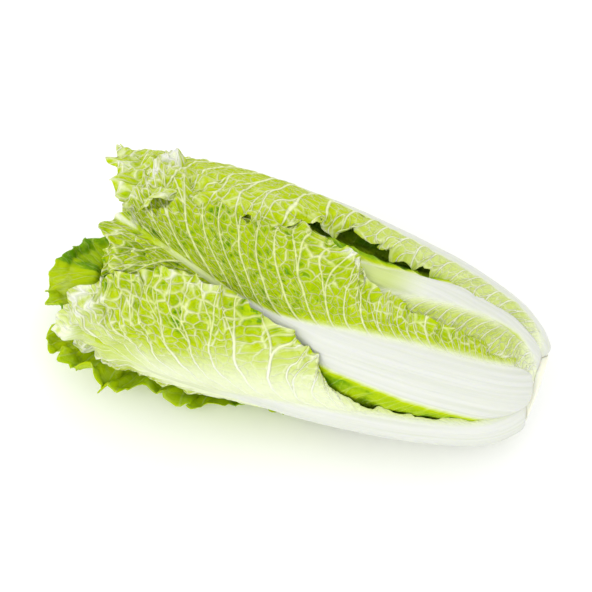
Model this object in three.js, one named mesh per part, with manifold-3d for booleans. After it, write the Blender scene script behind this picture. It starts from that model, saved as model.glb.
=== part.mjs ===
// A head of napa cabbage, cut at the stem and lying on its side.
// Millimetres, +Z up, origin in the middle of the spot it rests on.
// The cut stem points to +X and the leaf tips to -X.
//
// The head is built like an onion. A family of round profiles runs from the outside of the head
// (depth 0) to the middle (HEAD_DEPTH), every leaf follows the profile of its own depth, and so
// the leaves wrap round each other without crossing.

import * as THREE from 'three';
import { mergeVertices } from 'three/addons/utils/BufferGeometryUtils.js';
import Module from 'manifold-3d';

const wasm = await Module();
wasm.setup();

const TAU = Math.PI * 2;
const DEGREE = Math.PI / 180;

// ---- Driving dimensions -------------------------------------------------------------------

const HEAD_DEPTH = 50;          // number of the innermost profile, about 1 mm per step
const HEAD_ARC = 322;           // length of an outer profile from stem to tip
const HEAD_TILT = 6.5 * DEGREE; // the thin stem end sinks towards the surface
const STEM_CENTRE = new THREE.Vector3(159.7, 3.865, 52.5);   // middle of the cut face

// [distance from the cut face along the head, radius], evenly spaced along the leaf
const OUTER_PROFILE = [[0, 22], [19, 42], [54, 54.5], [91, 62], [127, 67.5], [163, 71],
  [199, 72.5], [235, 70], [269, 61], [301, 44]];
const OUTER_LEAD = [2, 4];
const INNER_PROFILE = [[52, 7], [66, 11], [84, 14], [106, 17], [132, 19], [162, 20],
  [194, 20], [224, 17], [250, 12], [272, 5]];
const INNER_LEAD = [44, 4];

// The loose lower front of the head is fuller than a round section.
const FULLER_SIDE = { angle: -38 * DEGREE, height: 8, from: 0.5, to: 0.86 };
// Behind the edge of leaf_a the inner leaves fall back and leave a dark slit.
const SLIT = { angle: 128 * DEGREE, half: 20 * DEGREE, from: 0.2, to: 0.62, depth: 8 };

const BLADE = 1.0;              // thickness of the leafy part
const RIB_HEIGHTS = [[0, 4], [0.1, 4.6], [0.3, 5.6], [0.6, 4], [0.9, 1.2], [1, 0.6]];
const RIB_HALF_WIDTHS = [[0, 19], [0.3, 18], [0.5, 12], [0.7, 7], [0.9, 3.5], [1, 2.5]];
const MARGIN_WAVE = 34;         // length of one wave along the leaf's margin
const MARGIN_SWING = 6;         // height of a free wave
const COVERED_SWING = 0.9;      // height of a wave pressed under another leaf
const VEIN_SWEEP = 0.12;        // how far the side veins run forward, as a share of the length

// ---- Leaves -------------------------------------------------------------------------------
// depth: which profile the leaf follows; angle: where its midrib stands round the head, from the
// front (0) over the top (90); twist: how far the midrib turns by its tip; minus and plus: the
// outline on either side of the midrib, as [share of the length, width].

const PLAIN_OUTLINE = [[0, 15], [0.1, 22], [0.25, 29], [0.4, 42], [0.55, 60], [0.68, 72],
  [0.8, 70], [0.91, 48], [0.98, 20], [1, 0]];
const NARROW_OUTLINE = PLAIN_OUTLINE.map(([share, width]) => [share, width * 0.8]);
const NARROW_LEAF = { minus: NARROW_OUTLINE, plus: NARROW_OUTLINE };
const HEART_OUTLINE = PLAIN_OUTLINE.map(([share, width]) => [share, width * 0.55]);

const LEAVES = [
  { name: 'leaf_d', depth: 0, angle: -114, twist: 20, length: 332, flare: 9,
    segments: 32,
    minus: [[0, 15], [0.1, 26], [0.3, 38], [0.5, 52], [0.68, 60], [0.82, 50], [0.92, 30],
      [0.98, 12], [1, 0]],
    plus: [[0, 15], [0.1, 24], [0.25, 34], [0.4, 54], [0.55, 80], [0.7, 92], [0.83, 88],
      [0.93, 62], [0.985, 26], [1, 0]] },
  { name: 'leaf_a', depth: 3, angle: 138, length: 312, flare: 4,
    segments: 32,
    minus: [[0, 14], [0.12, 20], [0.27, 20], [0.4, 31], [0.5, 41], [0.6, 48], [0.68, 58],
      [0.76, 54], [0.88, 51], [0.95, 44], [0.99, 24], [1, 0]],
    plus: [[0, 15], [0.1, 32], [0.3, 50], [0.5, 64], [0.68, 76], [0.82, 70], [0.93, 46],
      [0.99, 18], [1, 0]] },
  { name: 'leaf_c', depth: 3.5, angle: -15, length: 316, flare: 3,
    segments: 32,
    minus: [[0, 15], [0.1, 22], [0.3, 32], [0.5, 48], [0.7, 60], [0.85, 52], [0.95, 28], [1, 0]],
    plus: [[0, 15], [0.12, 19], [0.29, 19.5], [0.385, 26], [0.42, 37], [0.46, 50], [0.5, 61],
      [0.57, 73], [0.68, 83], [0.76, 80], [0.86, 64], [0.94, 38], [0.985, 20], [1, 0]] },
  { name: 'leaf_g', depth: 7, angle: -150, twist: 6, length: 304, flare: 2,
    segments: 22,
    minus: [[0, 15], [0.1, 28], [0.3, 44], [0.5, 54], [0.68, 60], [0.82, 54], [0.93, 36],
      [1, 0]] },
  { name: 'leaf_b', depth: 8.5, angle: 39.5, twist: 32, twistFrom: 0.42, length: 299, flare: 3,
    segments: 32,
    minus: [[0, 15], [0.1, 27], [0.25, 40], [0.4, 46], [0.55, 52], [0.7, 60], [0.85, 56],
      [0.95, 34], [1, 0]],
    plus: [[0, 15], [0.13, 23], [0.27, 25], [0.37, 35], [0.44, 41], [0.5, 54], [0.6, 74],
      [0.75, 80], [0.88, 66], [0.97, 36], [1, 0]] },
  { name: 'leaf_h', depth: 11.5, angle: -60, twist: 4, length: 296, flare: 2, segments: 20 },
  { name: 'leaf_f', depth: 14, angle: 101, length: 292, flare: 2,
    segments: 26,
    minus: [[0, 13], [0.1, 20], [0.25, 33], [0.4, 48], [0.6, 60], [0.8, 60], [0.93, 40], [1, 0]],
    plus: [[0, 14], [0.1, 26], [0.25, 36], [0.4, 42], [0.6, 46], [0.8, 46], [0.93, 30], [1, 0]] },
  { name: 'leaf_i', depth: 18, angle: 185, length: 288, segments: 18 },
  { name: 'leaf_j', depth: 17, angle: -20, length: 288, segments: 18, ...NARROW_LEAF },
  { name: 'leaf_k', depth: 22, angle: 60, length: 284, segments: 18 },
  { name: 'leaf_l', depth: 23, angle: -100, length: 284, segments: 18, plus: NARROW_OUTLINE },
  { name: 'leaf_m', depth: 27, angle: 140, length: 280, segments: 16, plus: NARROW_OUTLINE },
  { name: 'leaf_n', depth: 30.5, angle: 0, length: 278, segments: 16, ...NARROW_LEAF },
  { name: 'leaf_o', depth: 34, angle: -140, length: 274, segments: 16, ...NARROW_LEAF },
];

// What holds for a leaf that says nothing else.
const PLAIN_LEAF = { twist: 0, twistFrom: 0.3, flare: 1, minus: PLAIN_OUTLINE, plus: PLAIN_OUTLINE };

// The tight little leaves of the heart grow out of a slim core in one piece.
const HEART_ROOT_DEPTH = 46;    // the leaves' roots are sunk into the core
const HEART_LEAVES = [
  { name: 'heart_1', depth: 38, angle: 200, length: 284 },
  { name: 'heart_2', depth: 38.5, angle: 40, length: 280 },
  { name: 'heart_3', depth: 40.5, angle: 120, length: 272 },
  { name: 'heart_4', depth: 40.5, angle: -60, length: 268 },
];
const HEART_LEAF = { flare: 0, segments: 8, rootDepth: HEART_ROOT_DEPTH, minus: HEART_OUTLINE,
  plus: HEART_OUTLINE };
// The core follows the profile of its depth at the foot, is slimmer above and ends inside.
const HEART_CORE = { depth: 44, slimmer: 0.45, from: 0.12, to: 0.4, end: 0.84 };
const HEART_STEPS = 14;
const HEART_SIDES = 16;

const STEM = { cut: -1.5, chamfer: 1.2, radius: 20.8, taper: 0.288, length: 44.3, sides: 32 };

const VISIBLE_ROWS = [0, 0.11, 0.22, 0.45, 0.7, 0.88, 1];   // midrib to margin
const INNER_ROWS = [0, 0.2, 0.45, 0.75, 1];
const VISIBLE_SEGMENTS = 26;    // leaves with this many segments a side get the finer rows

// ---- Small helpers ------------------------------------------------------------------------

const clamp = (value, low, high) => Math.min(Math.max(value, low), high);

function smooth(value, low, high) {
  const x = clamp((value - low) / (high - low), 0, 1);
  return x * x * (3 - 2 * x);
}

function interpolate(table, x) {
  if (x <= table[0][0]) return table[0][1];
  for (let i = 1; i < table.length; i++) {
    if (x <= table[i][0]) {
      const share = (x - table[i - 1][0]) / (table[i][0] - table[i - 1][0]);
      return table[i - 1][1] + share * (table[i][1] - table[i - 1][1]);
    }
  }
  return table[table.length - 1][1];
}

function turn(angle) {          // the same angle between -180 and 180 degrees
  return angle - TAU * Math.round(angle / TAU);
}

// Catmull-Rom curve through points, at position x counted in points.
function curveAt(points, lead, tail, x) {
  const last = points.length - 1;
  const i = clamp(Math.floor(x), 0, last - 1);
  const f = x - i;
  const a = i === 0 ? lead : points[i - 1];
  const b = points[i];
  const c = points[i + 1];
  const d = i + 2 > last ? tail : points[i + 2];
  return [0, 1].map((k) => 0.5 * (2 * b[k] + (c[k] - a[k]) * f
    + (2 * a[k] - 5 * b[k] + 4 * c[k] - d[k]) * f * f
    + (3 * b[k] - a[k] - 3 * c[k] + d[k]) * f * f * f));
}

function pastEnd(points) {
  const [p, q] = points.slice(-2);
  return [2 * q[0] - p[0], 2 * q[1] - p[1]];
}

// ---- The head's profiles ------------------------------------------------------------------

// [distance along the head, radius] at share t of the arc, on the profile of that depth.
function profileAt(t, depth) {
  const x = clamp(t, 0, 1.1) * (OUTER_PROFILE.length - 1);
  const outer = curveAt(OUTER_PROFILE, OUTER_LEAD, pastEnd(OUTER_PROFILE), x);
  const inner = curveAt(INNER_PROFILE, INNER_LEAD, pastEnd(INNER_PROFILE), x);
  const share = depth / HEAD_DEPTH;
  return [outer[0] + (inner[0] - outer[0]) * share, outer[1] + (inner[1] - outer[1]) * share];
}

function fullness(t, phi) {
  const off = Math.max(0, Math.cos(turn(phi - FULLER_SIDE.angle)));
  return FULLER_SIDE.height * off * off * smooth(t, FULLER_SIDE.from, FULLER_SIDE.to);
}

function slitDepth(t, phi, depth) {
  const off = Math.abs(turn(phi - SLIT.angle)) / SLIT.half;
  const along = smooth(t, SLIT.from, SLIT.from + 0.1) * (1 - smooth(t, SLIT.to - 0.1, SLIT.to));
  const layer = smooth(depth, 4, 16) * (1 - smooth(depth, 16, HEAD_DEPTH));
  return SLIT.depth * layer * along * (1 - smooth(off, 0.35, 1));
}

// A point of the head: share t of the arc, angle phi round the head, depth under the outside.
function headPoint(t, phi, depth) {
  const [x, round] = profileAt(t, depth + slitDepth(t, phi, depth));
  const radius = round + fullness(t, phi) * round / 70;
  const lift = radius * Math.sin(phi);
  return new THREE.Vector3(
    STEM_CENTRE.x - x * Math.cos(HEAD_TILT) + lift * Math.sin(HEAD_TILT),
    STEM_CENTRE.y - radius * Math.cos(phi),
    STEM_CENTRE.z + x * Math.sin(HEAD_TILT) + lift * Math.cos(HEAD_TILT));
}

// ---- One leaf -----------------------------------------------------------------------------

const OUTLINE_SAMPLES = 160;

// The outline of one side as evenly spaced samples, with its length along the margin.
function measureOutline(points, length) {
  const first = [-points[1][0], points[0][1] - (points[1][1] - points[0][1])];
  const samples = [];
  for (let i = 0; i <= OUTLINE_SAMPLES; i++) {
    const x = i / OUTLINE_SAMPLES * (points.length - 1);
    const [share, width] = curveAt(points, first, [1, -points[points.length - 2][1]], x);
    samples.push({ share: clamp(share, 0, 1), width: Math.max(width, 0), arc: 0 });
  }
  for (let i = 1; i < samples.length; i++) {
    const along = (samples[i].share - samples[i - 1].share) * length;
    const across = samples[i].width - samples[i - 1].width;
    samples[i].arc = samples[i - 1].arc + Math.hypot(along, across);
  }
  return {
    total: samples[OUTLINE_SAMPLES].arc,
    shares: samples.map((s) => [s.arc, s.share]),
    widths: samples.map((s) => [s.arc, s.width]),
    widthAt: samples.map((s) => [s.share, s.width]),
  };
}

function finishLeaf(values, number) {
  const leaf = { ...PLAIN_LEAF, ...values, number };
  leaf.minusSide = measureOutline(leaf.minus, leaf.length);
  leaf.plusSide = measureOutline(leaf.plus, leaf.length);
  return leaf;
}

const leaves = LEAVES.map(finishLeaf);
const heartLeaves = HEART_LEAVES.map((leaf, i) => (
  finishLeaf({ ...HEART_LEAF, ...leaf }, LEAVES.length + i)));

function midribAngle(leaf, t) {
  return (leaf.angle + leaf.twist * smooth(t, leaf.twistFrom, 1)) * DEGREE;
}

// 1 where an outer leaf lies on this one, 0 where it is free, with a soft edge.
function coverAt(leaf, t, phi) {
  let cover = 0;
  for (const other of leaves) {
    if (other.depth >= leaf.depth) continue;
    const share = t * HEAD_ARC / other.length;
    if (share >= 1) continue;
    const off = turn(phi - midribAngle(other, t));
    const side = off < 0 ? other.minusSide : other.plusSide;
    const inside = interpolate(side.widthAt, share) - Math.abs(off) * profileAt(t, other.depth)[1];
    cover = Math.max(cover, smooth(inside, -8, 8));
  }
  return cover;
}

// Two even numbers of a leaf that set where its waves start.
function phase(leaf, which) {
  return TAU * ((leaf.number * 0.618 + which * 0.383) % 1);
}

// How far the margin's waves lift the leaf outward.
function waveLift(leaf, row, arcFromTip, cover, share) {
  const slow = 1.2 * Math.sin(TAU * arcFromTip / 110 + phase(leaf, 1));
  const wave = 0.5 + 0.5 * Math.sin(TAU * arcFromTip / MARGIN_WAVE + phase(leaf, 0) + slow);
  const free = MARGIN_SWING * (1 - cover) * row ** 3 * smooth(share, 0.1, 0.4);
  return wave * (free + COVERED_SWING * cover * row * row);
}

function ribHeight(share, across, cover) {
  const x = Math.max(0, 1 - (across / interpolate(RIB_HALF_WIDTHS, share)) ** 2);
  return interpolate(RIB_HEIGHTS, share) * x ** 0.8 * (1 - 0.8 * cover);
}

// The middle surface of a leaf at margin position q (-1 base, 0 tip, 1 base) and row v (0 midrib,
// 1 margin), with the thickness there.
function leafPoint(leaf, q, v) {
  const side = q < 0 ? leaf.minusSide : leaf.plusSide;
  const arc = (1 - Math.abs(q)) * side.total;
  const marginShare = interpolate(side.shares, arc);
  const ribShare = marginShare * (1 - VEIN_SWEEP);
  const share = ribShare + (marginShare - ribShare) * v;
  const across = Math.sign(q) * interpolate(side.widths, arc) * v;
  const t = share * leaf.length / HEAD_ARC;
  const radius = Math.max(profileAt(t, leaf.depth)[1], 8);
  const phi = midribAngle(leaf, t) + across / radius;
  const cover = coverAt(leaf, t, phi);
  const rib = ribHeight(share, across, cover);
  const flare = leaf.flare * (1 - cover) * smooth(share, 0.55, 1) * v * v;
  const lift = rib / 2 + flare + waveLift(leaf, v, Math.sign(q) * (side.total - arc), cover, share);
  const root = leaf.rootDepth ? (leaf.rootDepth - leaf.depth) * (1 - smooth(t, 0.1, 0.3)) : 0;
  return { point: headPoint(t, phi, leaf.depth + root - lift), half: (BLADE + rib) / 2 };
}

// Grid of the leaf, closed along the midrib: rows from the midrib out, columns along the margin.
function leafSurface(leaf) {
  const rows = leaf.segments >= VISIBLE_SEGMENTS ? VISIBLE_ROWS : INNER_ROWS;
  const columns = leaf.segments * 2;
  const vertices = [];
  const indexOf = [];
  for (let i = 0; i <= columns; i++) {
    indexOf.push(rows.map((row, j) => {
      const mirrored = columns - i;
      if (j === 0 && mirrored < i) return indexOf[mirrored][0];
      vertices.push(leafPoint(leaf, i / leaf.segments - 1, row));
      return vertices.length - 1;
    }));
  }
  const faces = [];
  for (let i = 0; i < columns; i++) {
    for (let j = 0; j < rows.length - 1; j++) {
      const [a, b] = [indexOf[i][j], indexOf[i + 1][j]];
      const [c, d] = [indexOf[i + 1][j + 1], indexOf[i][j + 1]];
      if (a !== b) faces.push([a, b, c]);
      if (c !== d) faces.push([a, c, d]);
    }
  }
  const last = rows.length - 1;
  const rim = indexOf.map((column) => column[last]);
  const baseBack = indexOf[columns].slice(0, last).reverse();
  const baseFront = indexOf[0].slice(1, last);
  return { vertices, faces, rim: [...rim, ...baseBack, ...baseFront] };
}

function vertexNormals(vertices, faces) {
  const normals = vertices.map(() => new THREE.Vector3());
  const one = new THREE.Vector3();
  const two = new THREE.Vector3();
  for (const [a, b, c] of faces) {
    one.subVectors(vertices[b].point, vertices[a].point);
    two.subVectors(vertices[c].point, vertices[a].point);
    one.cross(two);
    for (const v of [a, b, c]) normals[v].add(one);
  }
  return normals.map((normal) => normal.normalize());
}

// A closed leaf: an outer and an inner face split alike, joined round the rim.
function leafGeometry(leaf) {
  const { vertices, faces, rim } = leafSurface(leaf);
  const normals = vertexNormals(vertices, faces);
  const count = vertices.length;
  const positions = new Float32Array(count * 6);
  vertices.forEach(({ point, half }, i) => {
    const outer = point.clone().addScaledVector(normals[i], half);
    const inner = point.clone().addScaledVector(normals[i], -half);
    if (outer.z < 0) outer.z = 0;
    if (inner.z < 0) inner.z = 0;
    outer.toArray(positions, i * 3);
    inner.toArray(positions, (count + i) * 3);
  });
  const index = [];
  for (const [a, b, c] of faces) {
    index.push(a, b, c, count + a, count + c, count + b);
  }
  rim.forEach((a, i) => {
    const b = rim[(i + 1) % rim.length];
    index.push(a, b, count + b, a, count + b, count + a);
  });
  const geometry = new THREE.BufferGeometry();
  geometry.setAttribute('position', new THREE.BufferAttribute(positions, 3));
  geometry.setIndex(index);
  return geometry;
}

// ---- Stem and heart -----------------------------------------------------------------------

// A body of revolution round the head's axis, through [distance along the head, radius] points.
function turnedGeometry(profile, sides) {
  const points = profile.map(([x, radius]) => new THREE.Vector2(radius, x));
  const geometry = new THREE.LatheGeometry(points, sides);
  geometry.rotateZ(Math.PI / 2);
  geometry.rotateY(HEAD_TILT);
  geometry.translate(STEM_CENTRE.x, STEM_CENTRE.y, STEM_CENTRE.z);
  return geometry;
}

// The stem tapers from the cut face inward, and the leaves stand on its side.
function stemGeometry() {
  const { cut, chamfer, radius, taper, length, sides } = STEM;
  return turnedGeometry([[cut, 0], [cut, radius - chamfer], [cut + chamfer, radius],
    [length, radius - taper * length], [length, 0]], sides);
}

function heartCoreGeometry() {
  const profile = [];
  for (let i = 0; i <= HEART_STEPS; i++) {
    const t = i / HEART_STEPS * HEART_CORE.end;
    const [x, radius] = profileAt(t, HEART_CORE.depth);
    const slimmer = HEART_CORE.slimmer * smooth(t, HEART_CORE.from, HEART_CORE.to);
    profile.push([x, radius * (1 - slimmer)]);
  }
  const [start] = profile[0];
  const [end, radius] = profile[HEART_STEPS];
  profile.unshift([start, 0]);
  profile.push([end + radius, 0]);
  return turnedGeometry(profile, HEART_SIDES);
}

function toSolid(geometry) {
  const bare = geometry.clone();
  bare.deleteAttribute('normal');
  bare.deleteAttribute('uv');
  const merged = mergeVertices(bare, 1e-4);
  return new wasm.Manifold(new wasm.Mesh({
    numProp: 3,
    vertProperties: new Float32Array(merged.attributes.position.array),
    triVerts: new Uint32Array(merged.index.array),
  }));
}

function toGeometry(solid) {
  const { vertProperties, triVerts } = solid.getMesh();
  const geometry = new THREE.BufferGeometry();
  geometry.setAttribute('position', new THREE.BufferAttribute(vertProperties, 3));
  geometry.setIndex(new THREE.BufferAttribute(triVerts, 1));
  return geometry;
}

function heartGeometry() {
  const solids = heartLeaves.map((leaf) => toSolid(leafGeometry(leaf)));
  return toGeometry(solids.reduce((body, leaf) => body.add(leaf), toSolid(heartCoreGeometry())));
}

// ---- The group ----------------------------------------------------------------------------

function part(name, geometry, color) {
  const material = new THREE.MeshStandardMaterial({ color, roughness: 0.6, metalness: 0 });
  const mesh = new THREE.Mesh(geometry, material);
  mesh.name = name;
  return mesh;
}

const head = new THREE.Group();
for (const leaf of leaves) {
  head.add(part(leaf.name, leafGeometry(leaf), 0xc3d96a));
}
head.add(part('stem_core', stemGeometry(), 0xe9edd6));
head.add(part('heart', heartGeometry(), 0xe6e3a0));

export default head;
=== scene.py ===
"""A head of napa cabbage, cut at the stem and lying on its side.

Every leaf is a grid wrapped round the head by one formula, an onion of profiles that the solid
leaves follow too. Here it also has its veins, cells, puckers and frilled margins.
"""

import math
from types import SimpleNamespace

import bpy
import numpy as np
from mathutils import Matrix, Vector


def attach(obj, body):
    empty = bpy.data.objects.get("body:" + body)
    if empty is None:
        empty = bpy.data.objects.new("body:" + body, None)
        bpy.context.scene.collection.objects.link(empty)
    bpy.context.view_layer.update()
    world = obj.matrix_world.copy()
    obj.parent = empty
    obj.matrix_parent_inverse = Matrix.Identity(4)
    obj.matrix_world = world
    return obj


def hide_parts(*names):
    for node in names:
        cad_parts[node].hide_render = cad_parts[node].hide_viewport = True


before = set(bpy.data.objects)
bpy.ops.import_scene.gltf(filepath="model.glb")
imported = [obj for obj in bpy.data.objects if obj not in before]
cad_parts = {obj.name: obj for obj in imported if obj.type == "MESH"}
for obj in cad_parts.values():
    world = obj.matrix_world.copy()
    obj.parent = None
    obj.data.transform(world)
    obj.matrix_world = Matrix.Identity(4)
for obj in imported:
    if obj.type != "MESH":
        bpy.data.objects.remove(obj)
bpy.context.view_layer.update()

bl_info = {
    "name": "Napa cabbage",
    "version": (1, 0, 0),
    "blender": (4, 5, 0),
    "location": "3D View > Sidebar > Cabbage",
    "description": "Builds the leaves, heart and cut stem of a head of napa cabbage",
    "category": "Add Mesh",
}

MM = 0.001
TAU = math.tau

# ---- The head's form, in millimetres ------------------------------------------------------

HEAD_DEPTH = 50                     # number of the innermost profile, about 1 mm per step
HEAD_ARC = 322                      # length of an outer profile from stem to tip
HEAD_TILT = math.radians(6.5)       # the thin stem end sinks towards the floor
STEM_CENTRE = (159.7, 3.865, 52.5)  # middle of the cut face

# [distance from the cut face along the head, radius], evenly spaced along the leaf, and the
# point before the first one.
OUTER_PROFILE = [[0, 22], [19, 42], [54, 54.5], [91, 62], [127, 67.5], [163, 71],
                 [199, 72.5], [235, 70], [269, 61], [301, 44]]
OUTER_LEAD = [2, 4]
INNER_PROFILE = [[52, 7], [66, 11], [84, 14], [106, 17], [132, 19], [162, 20],
                 [194, 20], [224, 17], [250, 12], [272, 5]]
INNER_LEAD = [44, 4]

# The loose lower front of the head is fuller than a round section.
FULLER_SIDE = {"angle": math.radians(-38), "height": 8, "start": 0.5, "stop": 0.86}
FULLER_RADIUS = 70
# Behind the margin of leaf_a the inner leaves fall back and leave a dark slit.
SLIT = {"angle": math.radians(128), "half": math.radians(20), "start": 0.2, "stop": 0.62,
        "depth": 8}

# [share of the leaf's length, height or half width]
RIB_HEIGHTS = [[0, 4], [0.1, 4.6], [0.3, 5.4], [0.5, 3.6], [0.6, 1.5], [0.7, 0.7], [1, 0.3]]
RIB_HALF_WIDTHS = [[0, 18], [0.3, 16.5], [0.45, 13], [0.52, 9], [0.6, 4.0], [0.72, 1.8],
                   [0.9, 1.0], [1, 0.8]]
MARGIN_WAVE = 34        # length of one wave along the margin
MARGIN_SWING = 6        # height of a free wave
COVERED_SWING = 0.9     # height of a wave pressed under another leaf
SLOW_WAVE = 110         # length over which the waves speed up and slow down
COVER_EDGE = 8          # how softly cover by another leaf begins and ends
VEIN_SWEEP = 0.12       # how far the side veins run forward, as a share of the length
OUTLINE_SAMPLES = 160

PLAIN_OUTLINE = [[0, 15], [0.1, 22], [0.25, 29], [0.4, 42], [0.55, 60], [0.68, 72],
                 [0.8, 70], [0.91, 48], [0.98, 20], [1, 0]]


def scaled(outline, factor):
    return [[share, width * factor] for share, width in outline]


NARROW_OUTLINE = scaled(PLAIN_OUTLINE, 0.8)
HEART_OUTLINE = scaled(PLAIN_OUTLINE, 0.55)

# What holds for a leaf that says nothing else, in millimetres and degrees. A pair is for the
# minus and the plus side, and a share is one of the leaf's length.
#   depth, angle: its profile, and where its midrib stands, from the front (0) over the top (90)
#   twist, twist_from: how far the midrib turns by the tip, and from which share on
#   flare: how far the tip stands off the head
#   root: depth at which it starts at the stem, if that isn't its own
#   minus, plus: its outline on either side, as [share, width]
#   grid: steps along half the margin, and from midrib to margin
#   rib: width and height of the midrib, as parts of the usual ones
#   rib_path: where the midrib runs beside the leaf's middle line, as [share, distance]
#   heel: how much nearer to the outside the leaf comes at the stem, from and to which share,
#       and how much more at the very cut
#   heel_reach: where that fades beside the midrib
#   crease: where the blade folds over, as [share, distance from the middle line]
#   fold: height of the lengthwise folds towards the tip
#   frill, calm: height of the margin's finest waves, and up to which share it lies flat
#   swing: height of the margin's long waves, as a part of the usual one
#   settle: how far the margin sinks onto the next leaf
#   curl: how far the tip bends in towards the heart
#   crumple: height of the crumples at the tip
#   teeth, pucker: depth of the margin's teeth and height of the puckers, as parts of the usual
#   relief: the least height of the relief of the vein net, as a part of the usual one
#   lean: how far the side veins run forward, as a part of the usual
#   vein, tip_vein: how clearly the veins show, and the same towards the tip
#   green, tip_green, base_green: how green the blade gets, and what part of that is left at
#       the tip and beside the lower half of the midrib
#   rib_green: how green the midrib gets, and from which share on
#   white: how far the pale colour of the midrib reaches into the blade
#   hem: how far the very margin pales in spots
#   crest_light: painted light and shade, how much paler crests and greener hollows are drawn per
#       millimetre
PLAIN_LEAF = {
    "twist": 0, "twist_from": 0.3, "flare": 1, "root": None, "minus": PLAIN_OUTLINE,
    "plus": PLAIN_OUTLINE, "grid": (118, 24), "rib": (1.0, 1.0), "rib_path": [[0, 0], [1, 0]],
    "heel": (0, 0.0, 0.3, 0), "heel_reach": ((2, 20), (12, 40)), "crease": None, "fold": 0.5,
    "frill": 2.4, "calm": 0.1, "swing": 1, "settle": 0, "curl": 0, "crumple": 2.0,
    "teeth": 1.0, "pucker": 1.0, "relief": 0, "lean": 1.0, "vein": (1.0, 1.0),
    "tip_vein": (1.0, 1.0), "green": (0.6, 0.6), "tip_green": 1.0, "base_green": (1.0, 1.0),
    "rib_green": (0.3, 0.55), "white": (12, 12), "hem": (0.2, 0.2), "crest_light": 0.08}

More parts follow.
